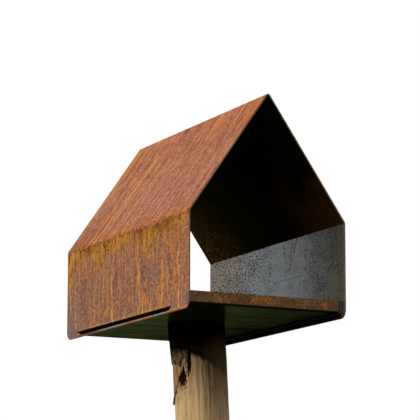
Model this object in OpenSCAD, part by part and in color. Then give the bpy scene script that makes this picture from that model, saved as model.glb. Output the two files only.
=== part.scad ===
// Bird feeder on a post: an open-gabled house folded from weathering-steel sheet, with a folded
// seed tray between its walls, screwed down on the end grain of a natural round wooden post.
// The origin is the centre of the post's foot, +Z is up and the front gable faces -Y.

/* [House] */
// Width over the outside of both walls
house_w = 250; // [200:5:320]
// Depth from gable to gable
house_d = 430; // [340:5:520]
// Height of the sharp corner of the eaves above the lower edge of the walls
wall_h = 138; // [100:1:180]
// Height of the sharp corner of the ridge above the lower edge of the walls
ridge_h = 318; // [270:1:380]
// Radius of the rounded lower corners of the walls
corner_r = 13; // [4:1:20]

/* [Sheet] */
// Thickness of the steel sheet
sheet_t = 2; // [1.5:0.1:3]
// Outer radius of the bends at the eaves
eave_r = 4; // [3.5:0.5:8]
// Outer radius of the bend along the ridge
ridge_r = 4; // [3.5:0.5:8]
// Outer radius of the bends of the four lips
lip_r = 3.5; // [3.5:0.5:6]

/* [Tray] */
// Height of the underside of the tray above the lower edge of the walls
tray_z = 7.2; // [5:0.2:12]
// Height of the lips above the underside of the tray
lip_h = 18.4; // [14:0.2:32]
// Distance of the front and rear lips behind the gable edges
lip_inset = 10; // [5:1:30]
// Play between the tray and the walls
tray_play = 0.2; // [0.1:0.1:0.8]

/* [Drain slot] */
// Height of the strip of the left wall below the slot
strip_h = 2.8; // [2.5:0.1:6]
// Height of the slot
slot_h = 6.4; // [4:0.2:8]
// Distance of the slot from the front gable
slot_front = 58; // [30:1:120]
// Distance of the slot from the rear gable
slot_rear = 40; // [30:1:120]
// Length over which the rear end of the slot narrows towards its upper edge
slot_taper = 14; // [1:1:30]

/* [Post] */
// Height of the post above the ground
post_h = 1600; // [900:10:1900]
// Diameter of the post at the top
post_top_d = 77; // [70:1:110]
// Diameter of the post at the foot
post_foot_d = 92; // [80:1:140]
// How far the post bows out of line between its ends
post_bow = 11; // [0:1:30]
// How far the top of the post sits off the foot's centre
post_shift = 4; // [0:0.5:6]
// Unevenness of the post's skin
post_rough = 1.2; // [0:0.2:2]

/* [Bark] */
// How far the inner bark reaches down from the top of the post
bark_l = 118; // [70:1:200]
// Thickness of the outer bark at the top of the post
bark_t = 4.6; // [2:0.2:7]
// Thickness of the inner bark
inner_bark_t = 1.4; // [0.8:0.1:2.5]
// Play between a layer of bark and what it lies on
bark_play = 0.15; // [0.1:0.05:0.4]

/* [Screws] */
// Distance between neighbouring screws, the same both ways
screw_pitch = 36; // [30:1:42]
// Diameter of the screw shanks
screw_d = 6; // [5:0.5:8]
// Length of a screw below its head
screw_l = 80; // [50:5:100]
// Play between a screw and its hole in the floor
screw_play = 0.5; // [0.2:0.1:1]

/* [Hidden] */
half_w = house_w / 2;
half_d = house_d / 2;
floor_z = post_h;
wall_z = post_h - tray_z;
roof_pitch = atan((ridge_h - wall_h) / half_w);
fold_angle = 90 - roof_pitch;
eave_c = [eave_r - half_w, wall_h - eave_r * tan(fold_angle / 2)];
ridge_c = [0, ridge_h - ridge_r / cos(roof_pitch)];
outward = [-sin(roof_pitch), cos(roof_pitch)];
slope_from = eave_c + eave_r * outward;
slope_l = norm(ridge_c + ridge_r * outward - slope_from);
lip_x = half_w - sheet_t - tray_play;
lip_y = half_d - lip_inset;
floor_half_w = lip_x - lip_r;
floor_half_d = lip_y - lip_r;
hole_r = screw_d / 2 + screw_play / 2;
washer_d = screw_d * 3;
washer_t = 1.6;
head_d = screw_d * 2;
head_h = screw_d * 0.7;
facets = 96;
post_sides = 48;
post_rings = 36;
bow_angle = -26.5;
bark_from = 78;
bark_to = 220;
bark_columns = 30;
bark_rows = 12;

// Position of screw number i, counted anticlockwise from the front left
function screw_xy(i) = [
    (i == 1 || i == 4 ? -1 : 1) * screw_pitch / 2,
    (i < 3 ? -1 : 1) * screw_pitch / 2
];

// Swelling around a grown-over knot at one angle and share of the post's height
function knot(a, u, knot_a, knot_u, swell) =
    swell * exp((cos(a - knot_a) - 1) / 0.08 - pow((u - knot_u) / 0.035, 2));

// Distance of the post's skin from its centreline
function skin_r(a, u) = (post_foot_d + (post_top_d - post_foot_d) * u) / 2
    + post_rough * (0.6 * sin(2 * a + 160 * u) + 0.4 * sin(3 * a - 250 * u))
    + post_rough * (knot(a, u, 285, 0.6, 4) + knot(a, u, 130, 0.37, 3.5) + knot(a, u, 20, 0.78, 3));

// Sideways offset of the post's centreline, none at the foot
function centre_off(u) = (6.75 * post_bow * (1 - u) - post_shift * u) * u * u;

// Point on the post at an angle and height, a distance outside its skin
function on_post(a, z, out) = let(u = z / post_h, r = skin_r(a, u) + out) [
    centre_off(u) * cos(bow_angle) + r * cos(a),
    centre_off(u) * sin(bow_angle) + r * sin(a),
    z
];

// Share of bark_l that the inner bark reaches down, w running from 0 to 1 around the patch
function inner_reach(w) = 0.56 + 0.44 * exp(-pow((w - 0.5) / 0.3, 2)) + 0.012 * sin(2200 * w);

// Share of bark_l that the outer bark reaches down
function outer_reach(w) = 0.5 + 0.03 * sin(900 * w + 200) + 0.012 * sin(2700 * w);

// Part of a ring between two angles less than half a turn apart
module ring_sector(r_out, a_from, a_to) {
    reach = 3 * r_out;
    intersection() {
        difference() {
            circle(r = r_out, $fn = facets);
            circle(r = r_out - sheet_t, $fn = facets);
        }
        polygon([[0, 0], reach * [cos(a_from), sin(a_from)],
            reach * [cos((a_from + a_to) / 2), sin((a_from + a_to) / 2)], reach * [cos(a_to), sin(a_to)]]);
    }
}

// Mirror image on the other side of the house
module other_side() {
    mirror([1, 0, 0]) children();
}

// Outline of a wall drawn in Y and Z, straight at the eave and rounded at its lower corners
module wall_outline() {
    difference() {
        translate([-half_d, 0]) square([house_d, eave_c[1]]);
        for (side = [-1, 1])
            translate([side * (half_d - corner_r), corner_r]) difference() {
                translate([side < 0 ? -2 * corner_r : 0, -2 * corner_r]) square(2 * corner_r);
                circle(r = corner_r, $fn = facets);
            }
    }
}

// Drain slot drawn in Y and Z: both ends narrow towards the upper edge, the rear one over a longer way
module slot_outline() {
    y0 = slot_front - half_d;
    y1 = half_d - slot_rear;
    top = strip_h + slot_h;
    tip = slot_h / 6;
    polygon([[y0 + slot_taper / 3, strip_h], [y1 - slot_taper, strip_h], [y1, top - tip], [y1, top],
        [y0 + 5 * tip, top], [y0 + 4 * tip, top + tip / 2], [y0, top + tip / 2], [y0, top - tip]]);
}

// Flat wall plate that runs down past the tray
module wall() {
    translate([-half_w, 0, wall_z]) rotate([90, 0, 90]) linear_extrude(sheet_t) children();
}

// Roof panel with the bend at its eave and its half of the bend along the ridge,
// drawn lying flat from the eave's tangent point and then tilted
module roof() {
    translate([0, half_d, wall_z]) rotate([90, 0, 0]) linear_extrude(house_d)
        translate(slope_from) rotate(roof_pitch) {
            translate([0, -sheet_t]) square([slope_l, sheet_t]);
            translate([0, -eave_r]) ring_sector(eave_r, 90, 90 + fold_angle);
            translate([slope_l, -ridge_r]) ring_sector(ridge_r, 90 - roof_pitch, 90);
        }
}

// Flat part of the tray, with the holes of the screws
module floor_plate() {
    color("saddlebrown") difference() {
        translate([-floor_half_w, -floor_half_d, floor_z])
            cube([2 * floor_half_w, 2 * floor_half_d, sheet_t]);
        for (i = [1:4])
            translate([screw_xy(i)[0], screw_xy(i)[1], floor_z - sheet_t])
                cylinder(r = hole_r, h = 3 * sheet_t, $fn = facets);
    }
}

// Lip turned up along X, with its bend, whose flat face stands at -Y
module lip(length, face_y) {
    translate([-length / 2, lip_r - face_y, floor_z]) rotate([90, 0, 90]) linear_extrude(length) {
        translate([0, lip_r]) ring_sector(lip_r, 180, 270);
        translate([-lip_r, lip_r]) square([sheet_t, lip_h - lip_r]);
    }
}

// Bowed and tapered round post, cut level at both ends, with the pilot holes of the screws
module post() {
    points = [for (i = [0:post_rings]) for (j = [0:post_sides - 1])
        on_post(j * 360 / post_sides, i * post_h / post_rings, 0)];
    skin = [for (i = [0:post_rings - 1]) for (j = [0:post_sides - 1])
        let(k = (j + 1) % post_sides, a = i * post_sides, b = a + post_sides)
        for (f = [[a + j, b + j, b + k], [a + j, b + k, a + k]]) f];
    foot = [for (j = [0:post_sides - 1]) j];
    top = [for (j = [1:post_sides]) (post_rings + 1) * post_sides - j];
    color("tan") difference() {
        polyhedron(points = points, faces = concat(skin, [foot, top]));
        for (i = [1:4])
            translate([screw_xy(i)[0], screw_xy(i)[1], post_h - screw_l])
                cylinder(d = screw_d, h = 2 * screw_l, $fn = facets);
    }
}

// Layer of bark seated a little off the skin, its thickness running from the top to its lower edge
module bark(reach, seat, t_top, t_low) {
    row = bark_columns + 1;
    back = row * (bark_rows + 1);
    points = [for (out = [1, 0]) for (i = [0:bark_rows]) for (j = [0:bark_columns])
        on_post(bark_from + (bark_to - bark_from) * j / bark_columns,
            post_h - reach[j] * i / bark_rows,
            seat + out * (t_top + (t_low - t_top) * i / bark_rows))];
    faces = [for (i = [0:bark_rows - 1]) for (j = [0:bark_columns - 1])
        let(a = i * row + j, b = a + 1, c = b + row, d = a + row)
        for (f = [[a, b, c], [a, c, d], [a + back, c + back, b + back], [a + back, d + back, c + back]]) f];
    ends = [for (j = [0:bark_columns - 1])
        let(a = j, b = j + 1, c = bark_rows * row + j, d = c + 1)
        for (f = [[a, a + back, b + back], [a, b + back, b], [c, d, d + back], [c, d + back, c + back]]) f];
    sides = [for (i = [0:bark_rows - 1])
        let(a = i * row, b = a + row, c = a + bark_columns, d = b + bark_columns)
        for (f = [[a + back, a, b], [a + back, b, b + back], [c, c + back, d + back], [c, d + back, d]]) f];
    polyhedron(points = points, faces = concat(faces, ends, sides));
}

// Thin reddish inner layer that reaches down in a tongue
module inner_bark() {
    reach = [for (j = [0:bark_columns]) bark_l * inner_reach(j / bark_columns)];
    color("brown") bark(reach, bark_play, inner_bark_t, inner_bark_t * 0.7);
}

// Thick outer layer, left only near the top
module outer_bark() {
    reach = [for (j = [0:bark_columns]) bark_l * outer_reach(j / bark_columns)];
    color("gray") bark(reach, 2 * bark_play + inner_bark_t, bark_t, bark_t * 0.3);
}

// Screw with a round head on its washer, through the floor into the post
module screw(i) {
    head_z = floor_z + sheet_t + washer_t;
    color("silver") translate([screw_xy(i)[0], screw_xy(i)[1], 0]) {
        translate([0, 0, head_z - screw_l]) cylinder(d = screw_d, h = screw_l, $fn = facets);
        intersection() {
            translate([0, 0, head_z]) cylinder(d = head_d, h = head_h, $fn = facets);
            translate([0, 0, head_z + head_h - head_d * 0.65]) sphere(r = head_d * 0.65, $fn = facets);
        }
    }
}

// Flat washer under the head of a screw
module washer(i) {
    color("silver") translate([screw_xy(i)[0], screw_xy(i)[1], floor_z + sheet_t]) difference() {
        cylinder(d = washer_d, h = washer_t, $fn = facets);
        translate([0, 0, -washer_t]) cylinder(r = hole_r, h = 3 * washer_t, $fn = facets);
    }
}

module left_wall() {
    color("sienna") wall() difference() {
        wall_outline();
        slot_outline();
    }
}

module right_wall() { color("slategray") other_side() wall() wall_outline(); }
module left_roof() { color("chocolate") roof(); }
module right_roof() { color("chocolate") other_side() roof(); }
module front_lip() { color("sienna") lip(2 * floor_half_w, lip_y); }
module rear_lip() { color("sienna") mirror([0, 1, 0]) lip(2 * floor_half_w, lip_y); }
module left_lip() { color("sienna") rotate([0, 0, -90]) lip(2 * lip_y, lip_x); }
module right_lip() { color("sienna") rotate([0, 0, 90]) lip(2 * lip_y, lip_x); }

left_wall();
right_wall();
left_roof();
right_roof();
floor_plate();
front_lip();
rear_lip();
left_lip();
right_lip();
post();
inner_bark();
outer_bark();
screw(1);  // screw_1
screw(2);  // screw_2
screw(3);  // screw_3
screw(4);  // screw_4
washer(1);  // washer_1
washer(2);  // washer_2
washer(3);  // washer_3
washer(4);  // washer_4
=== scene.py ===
import math

import bpy
import numpy as np
from mathutils import Matrix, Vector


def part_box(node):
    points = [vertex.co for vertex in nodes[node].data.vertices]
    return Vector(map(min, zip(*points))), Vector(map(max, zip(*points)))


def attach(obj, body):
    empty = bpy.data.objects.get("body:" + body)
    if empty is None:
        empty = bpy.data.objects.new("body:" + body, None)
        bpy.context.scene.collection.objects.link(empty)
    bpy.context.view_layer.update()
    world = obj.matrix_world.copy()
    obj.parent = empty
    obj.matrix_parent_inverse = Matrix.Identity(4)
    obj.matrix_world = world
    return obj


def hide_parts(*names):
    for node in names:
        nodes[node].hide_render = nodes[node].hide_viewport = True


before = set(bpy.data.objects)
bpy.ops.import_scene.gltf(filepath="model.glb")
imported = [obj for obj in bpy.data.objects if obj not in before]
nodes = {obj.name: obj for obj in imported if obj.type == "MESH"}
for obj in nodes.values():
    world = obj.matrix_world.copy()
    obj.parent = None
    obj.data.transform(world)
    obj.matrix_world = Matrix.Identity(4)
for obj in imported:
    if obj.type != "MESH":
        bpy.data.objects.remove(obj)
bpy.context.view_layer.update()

scene = bpy.context.scene
wallLow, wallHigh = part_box("left_wall")
trayLow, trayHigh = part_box("right_lip")
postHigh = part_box("post")[1]
# the materials measure in millimetres: heights from the walls' lower edge, depths from the house's middle
wallFoot = wallLow.z * 1000
wallTall = wallHigh.z * 1000 - wallFoot
halfDepth = wallHigh.y * 1000
postTop = postHigh.z * 1000
print("frame loaded:", len(nodes), "nodes")

# colours and shader helpers

desk = {"tree": None}  # the node tree that the helpers below are adding to


def rgb(red, green, blue):
    # a colour given as screen values from 0 to 255, turned into linear light
    shares = [value / 255 for value in (red, green, blue)]
    return tuple(s / 12.92 if s <= 0.04045 else ((s + 0.055) / 1.055) ** 2.4 for s in shares) + (1,)


def feed(socket, value):
    # joins a socket to a socket, or writes a plain value into it
    if isinstance(value, bpy.types.NodeSocket):
        desk["tree"].links.new(value, socket)
    else:
        socket.default_value = value


def feedAll(made, values):
    for name, value in values.items():
        feed(made.inputs[name], value)


def put(kind, *values, **settings):
    # adds a node, sets its properties and feeds its inputs in their order
    made = desk["tree"].nodes.new("ShaderNode" + kind)
    for name, value in settings.items():
        setattr(made, name, value)
    for socket, value in zip(made.inputs, values):
        feed(socket, value)
    return made


def calc(operation, *values):
    return put("Math", *values, operation=operation).outputs[0]


def chained(operation, first, *others):
    # the operation carried through all values, from the left
    for other in others:
        first = calc(operation, first, other)
    return first


def add(*values):
    return chained("ADD", *values)


def sub(first, second):
    return calc("SUBTRACT", first, second)


def mul(*values):
    return chained("MULTIPLY", *values)


def larger(*values):
    return chained("MAXIMUM", *values)


def apart(first, second):
    return calc("ABSOLUTE", sub(first, second))


def spread(field, reach):
    # a noise from 0 to 1 turned into a push to either side
    return mul(sub(field, 0.5), reach)


def smooth(value, low, high, start=0, end=1):
    # soft step of a value: start at low, end at high
    step = put("MapRange", value, low, high, start, end, interpolation_type="SMOOTHSTEP")
    return step.outputs[0]


def linear(value, low, high, start=0, end=1):
    return put("MapRange", value, low, high, start, end).outputs[0]


def mix(share, first, second, blend="MIX"):
    # colour mix: first at share 0, second at share 1
    made = put("Mix", data_type="RGBA", blend_type=blend)
    feed(made.inputs[0], share)
    feed(made.inputs[6], first)
    feed(made.inputs[7], second)
    return made.outputs[2]


def tinted(share, colour, red, green, blue):
    # the colour with its parts scaled where the share is 1
    return mix(share, colour, (red, green, blue, 1), "MULTIPLY")


def laid(colour, paint, field, low, high, share=1):
    # a paint laid over the colour, up to the share, where the field goes from low to high
    return mix(smooth(field, low, high, 0, share), colour, paint)


def between(share, first, second):
    # number mix: first at share 0, second at share 1
    made = put("Mix", data_type="FLOAT")
    feed(made.inputs[0], share)
    feed(made.inputs[2], first)
    feed(made.inputs[3], second)
    return made.outputs[0]


def noise(place, cycles, layers=2, rough=0.5, shift=(0, 0, 0), twist=0):
    # noise from 0 to 1 with its cycles per metre along each axis; every layer is half as large as the last,
    # and rough says how much the finer layers count
    place = put("Mapping", place, shift, (0, 0, 0), cycles).outputs[0]
    made = put("TexNoise")
    feedAll(made, {"Vector": place, "Scale": 1, "Detail": layers, "Roughness": rough, "Distortion": twist})
    return made.outputs["Fac"]


def profile(depth, stops):
    # a curve through (depth, height) stops over the whole depth of the house, read as a grey ramp
    top = max(height for place, height in stops)
    ramp = put("ValToRGB", linear(depth, -halfDepth, halfDepth))
    ramp.color_ramp.interpolation = "B_SPLINE"
    marks = ramp.color_ramp.elements
    while len(marks) < len(stops):
        marks.new(0.5)
    for mark, (place, height) in zip(marks, sorted(stops)):
        mark.position = (place + halfDepth) / (2 * halfDepth)
        mark.color = (height / top,) * 3 + (1,)
    return mul(ramp.outputs[0], top)


def shades(value, low, high, colours):
    # colours spread evenly over the value from low to high
    ramp = put("ValToRGB", linear(value, low, high))
    marks = ramp.color_ramp.elements
    while len(marks) < len(colours):
        marks.new(0.5)
    for index, colour in enumerate(colours):
        marks[index].position = index / (len(colours) - 1)
        marks[index].color = colour
    return ramp.outputs[0]


def bumped(height, strength, distance):
    made = put("Bump")
    feedAll(made, {"Strength": strength, "Distance": distance, "Height": height})
    return made.outputs[0]


def newMaterial(name, specular=0.25, metallic=0):
    # an empty material whose tree becomes the one on the desk
    material = bpy.data.materials.new(name)
    material.use_nodes = True
    desk["tree"] = material.node_tree
    shader = material.node_tree.nodes["Principled BSDF"]
    shader.inputs["Specular IOR Level"].default_value = specular
    shader.inputs["Metallic"].default_value = metallic
    return material, shader


def position():
    # place on the object, its three axes in millimetres, and the face's direction
    spot = put("TexCoord")
    axes = put("SeparateXYZ", spot.outputs["Object"])
    facing = put("SeparateXYZ", spot.outputs["Normal"])
    lengths = [mul(axis, 1000) for axis in axes.outputs]
    return spot.outputs["Object"], lengths, list(facing.outputs)


# camera

cameraLook = {
    "offset": (-1.4456, -2.9205, -0.4111),  # from the house's centre at the walls' lower edge
    "turn": -26.57, "tilt": 10.30, "roll": 0.08, "lens": 188.9, "sensor": 36, "farthest": 200,
}


def placeCamera(look):
    camera = bpy.data.objects.new("camera", bpy.data.cameras.new("camera"))
    camera.data.lens = look["lens"]
    camera.data.sensor_width = look["sensor"]
    camera.data.clip_end = look["farthest"]
    scene.collection.objects.link(camera)
    x, y, z = look["offset"]
    camera.matrix_world = (
        Matrix.Translation((x, y, wallLow.z + z))
        @ Matrix.Rotation(math.radians(look["turn"]), 4, "Z")
        @ Matrix.Rotation(math.radians(90 + look["tilt"]), 4, "X")
        @ Matrix.Rotation(math.radians(look["roll"]), 4, "Z")
    )
    scene.camera = camera


placeCamera(cameraLook)
print("camera placed")

# light, floor and background

lightLook = {
    "sunFrom": (-1, 0, 0.385), "sunStrength": 2.25, "sunAngle": 2,  # low light from the left
    # strength of the soft light from above and from below, and the upward slopes between which it changes
    "sky": 0.85, "ground": 0.01, "skyRise": (0, 0.85),
    # soft light from the front: how near to its middle it begins and is full, and how it fades downwards
    "fill": 0.28, "fillFrom": (0.3, -0.95, 0.05), "fillCone": (0.2, 1), "fillRise": (-0.3, 0.05),
    "floorReach": 40, "floorSides": 64, "floorGlow": 0.35,
    "floorColour": rgb(225, 225, 222), "floorDark": rgb(96, 92, 84),
}


def lightScene(look):
    sun = bpy.data.objects.new("sun", bpy.data.lights.new("sun", "SUN"))
    sun.data.energy = look["sunStrength"]
    sun.data.angle = math.radians(look["sunAngle"])
    x, y, z = look["sunFrom"]
    turn = math.atan2(x, -y)
    lean = math.atan2(math.hypot(x, y), z)
    sun.matrix_world = Matrix.Rotation(turn, 4, "Z") @ Matrix.Rotation(lean, 4, "X")
    scene.collection.objects.link(sun)
    world = bpy.data.worlds.new("daylight")
    scene.world = world
    world.use_nodes = True
    desk["tree"] = world.node_tree
    rays = put("LightPath")
    seen = larger(rays.outputs["Is Glossy Ray"], rays.outputs["Is Transmission Ray"])
    seen = larger(rays.outputs["Is Camera Ray"], seen)
    toward = put("TexCoord").outputs["Generated"]
    rise = put("SeparateXYZ", toward).outputs[2]
    soft = smooth(rise, *look["skyRise"], look["ground"], look["sky"])
    side = put("VectorMath", toward, look["fillFrom"], operation="DOT_PRODUCT").outputs["Value"]
    fill = mul(smooth(side, *look["fillCone"], 0, look["fill"]), smooth(rise, *look["fillRise"]))
    background = world.node_tree.nodes["Background"]
    feedAll(background, {"Color": (1, 1, 1, 1), "Strength": between(seen, add(soft, fill), 1)})


def layFloor(look):
    # a flat disc: one face whose points stand evenly round a circle of the floor's reach
    turns = np.linspace(0, 2 * np.pi, look["floorSides"], endpoint=False)
    rim = np.stack([np.cos(turns), np.sin(turns), 0 * turns], 1) * look["floorReach"]
    mesh = bpy.data.meshes.new("floor")
    mesh.from_pydata(rim.tolist(), [], [list(range(len(rim)))])
    floor = bpy.data.objects.new("floor", mesh)
    scene.collection.objects.link(floor)
    material, shader = newMaterial("paleFloor", specular=0)
    rays = put("LightPath")
    direct = larger(rays.outputs["Is Camera Ray"], rays.outputs["Is Glossy Ray"])
    feedAll(shader, {"Base Color": mix(direct, look["floorDark"], look["floorColour"]), "Roughness": 0.9,
                     "Emission Color": (1, 1, 1, 1),
                     "Emission Strength": mul(rays.outputs["Is Camera Ray"], look["floorGlow"])})
    mesh.materials.append(material)


lightScene(lightLook)
layFloor(lightLook)
scene.view_settings.view_transform = "Standard"
print("light and floor set")

# weathering steel

steelLook = {
    "edge": rgb(128, 114, 96), "edgeRust": rgb(160, 96, 50),  # the sheet's cut edges
    "deep": rgb(76, 46, 30), "umber": rgb(84, 42, 14), "mustard": rgb(191, 134, 38),
    # the near black serves as soot and as painted shade where parts lie in deep shade
    "mauve": rgb(116, 95, 89), "sootAndShade": rgb(33, 31, 13),
    "outsideRough": 0.85, "outsideSpecular": 0.12,
}
roofLook = {
    "pit": rgb(96, 50, 26), "dark": rgb(138, 80, 48), "base": rgb(160, 100, 71), "light": rgb(176, 118, 88),
    "pale": rgb(202, 146, 110), "run": rgb(212, 144, 74), "groove": rgb(104, 56, 30),
    # how much the parts of the colour are scaled
    "mauveTint": (0.97, 0.95, 1.2), "ripeTint": (1.1, 0.92, 0.6), "rearTint": (0.84, 0.77, 0.63),
    "lowTint": (0.90, 0.91, 0.90), "washedLight": (1.28, 1.3, 1.32), "washedDark": (0.85, 0.8, 0.82),
    "eave": 143,  # height of the bend at the eave
    # long leaning runs: depth, upper end and strength
    "longRuns": [(100, 290, 0.95), (78, 250, 0.45), (124, 215, 0.35)],
    "insideRust": rgb(142, 108, 62), "insideMoss": rgb(66, 74, 24), "insideSpeck": rgb(220, 140, 72),
    "insideTint": (0.9, 0.66, 0.5), "insideRough": 0.7,
}
wallLook = {
    "dark": rgb(108, 72, 52), "base": rgb(138, 99, 78), "light": rgb(160, 118, 92),
    "pale": rgb(192, 154, 126), "orange": rgb(198, 122, 52), "run": rgb(222, 148, 66),
    "brownTint": (1.26, 1, 0.56),
    "ochre": rgb(156, 98, 34), "stainBrown": rgb(126, 72, 34), "bendTint": (1.02, 0.9, 0.6),
    "stripGrey": rgb(140, 138, 134),
    # mill scale on the inside
    "scale": rgb(106, 109, 111), "scaleLight": rgb(134, 139, 142), "scalePale": rgb(162, 162, 158),
    "scaleDark": rgb(52, 47, 40), "scaleRust": rgb(132, 84, 48), "scaleOlive": rgb(134, 127, 103),
    "scaleFrontShade": (0.63, 0.60, 0.52), "scaleRear": (0.98, 0.78, 0.60),
}
wallMarks = {
    # the drain slot: its upper edge and its two ends
    "slotTop": 9.2, "slotFront": -157, "slotRear": 175,
    # reach of the yellow-brown stain below the eave along the depth
    "stain": [(-215, 4), (-198, 6), (-182, 6), (-172, 14), (-158, 18), (-140, 21), (-120, 21), (-100, 29),
              (-66, 30), (-52, 18), (-35, 13), (-10, 17), (20, 23), (45, 28), (62, 20), (85, 31),
              (105, 31), (125, 20), (150, 12), (172, 14), (190, 30), (205, 44), (215, 46)],
    # how brown the stain is along the depth
    "brown": [(-215, 0.1), (-195, 0.1), (-180, 0.2), (-172, 0.1), (-160, 0.8), (-118, 0.95), (-108, 0.3),
              (-68, 0.25), (-58, 0.9), (-45, 0.85), (-30, 0.35), (60, 0.3), (130, 0.35), (215, 0.2)],
    # rust on the strip under the slot along the depth: 0 is bare grey, 1 orange
    "strip": [(-215, 0.9), (-142, 0.9), (-136, 0), (-102, 0), (-97, 1), (-58, 1), (-53, 0.35),
              (-33, 0.35), (-29, 1), (-9, 1), (-4, 0), (86, 0), (96, 0.6), (215, 0.45)],
    # runs of orange rust: depth, top, foot, width and strength
    "runs": [(202, 100, 30, 2.4, 0.9), (182, 84, 16, 2.4, 0.9), (141, 118, 50, 1.8, 0.6),
             (112, 70, 10, 2, 0.5), (79, 114, 44, 1.8, 0.6), (45, 92, 12, 2.8, 0.9),
             (44, 30, 4, 4, 1), (0, 24, 3, 3, 0.9), (5, 12, 2, 9, 0.8), (-4, 92, 62, 2.4, 0.8),
             (-45, 140, 92, 2.4, 0.7), (-51, 92, 8, 2.6, 0.9), (-64, 40, 8, 3.2, 1),
             (-90, 48, 10, 2.2, 0.8), (-113, 48, 8, 2.4, 0.9), (-129, 82, 10, 2.4, 0.8),
             (-146, 74, 34, 2.4, 0.9), (-153, 30, 6, 2, 0.7), (-182, 92, 2, 3.6, 1),
             (-192, 60, 6, 2.4, 0.7), (-204, 100, 30, 2.2, 0.6), (95, 60, 26, 1.6, 0.6),
             (60, 60, 20, 1.6, 0.5)],
    # lines of specks on the inside of the right wall: from, to and width; the narrow ones are swipe marks
    "specks": [((-29, 138), (-44, 96), 3.2), ((-76, 138), (-48, 88), 3.6), ((-62, 138), (-52, 108), 2.4),
               ((8, 132), (12, 84), 6), ((-100, 120), (-96, 60), 5), ((20, 84), (-20, 70), 4)],
    "narrow": 3.9,
    "scratch": ((0, 78), (-92, 78), 1.3),
}


def swayed(place, wave, reach, shift=0):
    # the place pushed to and fro along the depth by a slow noise down the slope; reach in metres
    push = spread(noise(place, (0, wave, wave * 1.6), 2, 0.5, (0, shift, 0)), reach)
    side = put("CombineXYZ", 0, push, 0).outputs[0]
    return put("VectorMath", place, side, operation="ADD").outputs[0]


def threads(place, thin, wide, across, down, shift):
    # thin wandering lines: where a stretched noise passes through its middle value
    field = noise(place, (0, across, down), 2, 0.5, (0, shift, 0))
    return smooth(apart(field, 0.5), wide, thin)


def rustRuns(place, y, height):
    # each run is a thin line that wanders sideways, swells in beads and fades at its two ends
    wander = spread(noise(place, (0, 26, 34), 3, 0.6), 24)
    beads = noise(place, (0, 60, 75), 3, 0.7, (0, 3, 0))
    swell = linear(beads, 0.32, 0.68, 0.2, 2)
    breaks = smooth(noise(place, (0, 18, 30), 2, 0.5, (0, 9, 0)), 0.38, 0.54, 0.5, 1)
    total = 0
    for depth, top, foot, width, strength in wallMarks["runs"]:
        off = calc("DIVIDE", apart(add(y, wander), depth), swell)
        body = smooth(off, width * 0.8, width * 0.25, 0, strength)
        ends = mul(smooth(height, foot - 6, foot + 3), smooth(height, top + 4, top - 14))
        total = larger(total, mul(body, ends))
    return mul(total, breaks)


def steelMaterial(name, kind):
    # outside, inside and cut edges of one panel, told apart by the way the face looks
    material, shader = newMaterial(name)
    place, (x, y, z), facing = position()
    height = sub(z, wallFoot)
    outward = mul(facing[0], calc("SIGN", x))  # 1 on a wall's outside, -1 on its inside, 0 on an edge
    if kind == "roof":
        outward = add(outward, facing[2])
    outside = smooth(outward, -0.1, 0.1)
    edge = smooth(calc("ABSOLUTE", outward), 0.6, 0.4)
    fine = noise(place, (150, 150, 240), 3, 0.8)
    worn = noise(place, (90, 90, 90), 3, 0.7)
    cut = laid(steelLook["edge"], steelLook["edgeRust"], worn, 0.5, 0.62, 0.7)
    if kind == "roof":
        outer, relief = roofOutside(place, y, height, fine)
        inner, innerRough, sheen = roofInside(place, y, height), roofLook["insideRough"], 0
    else:
        outer, relief = wallOutside(place, y, height, fine)
        inner, innerRough, sheen = wallInside(place, y, height)
        low = laid(steelLook["edgeRust"], steelLook["umber"], y, -150, -120)
        cut = laid(cut, low, height, 6, 3)
    feedAll(shader, {"Base Color": mix(edge, mix(outside, inner, outer), cut),
                     "Specular IOR Level": mul(larger(outside, edge), steelLook["outsideSpecular"]),
                     "Roughness": between(outside, innerRough, steelLook["outsideRough"]),
                     "Metallic": mul(sheen, mul(sub(1, outside), sub(1, edge))),
                     "Normal": bumped(relief, 0.6, 0.0006)})
    return material


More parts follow.
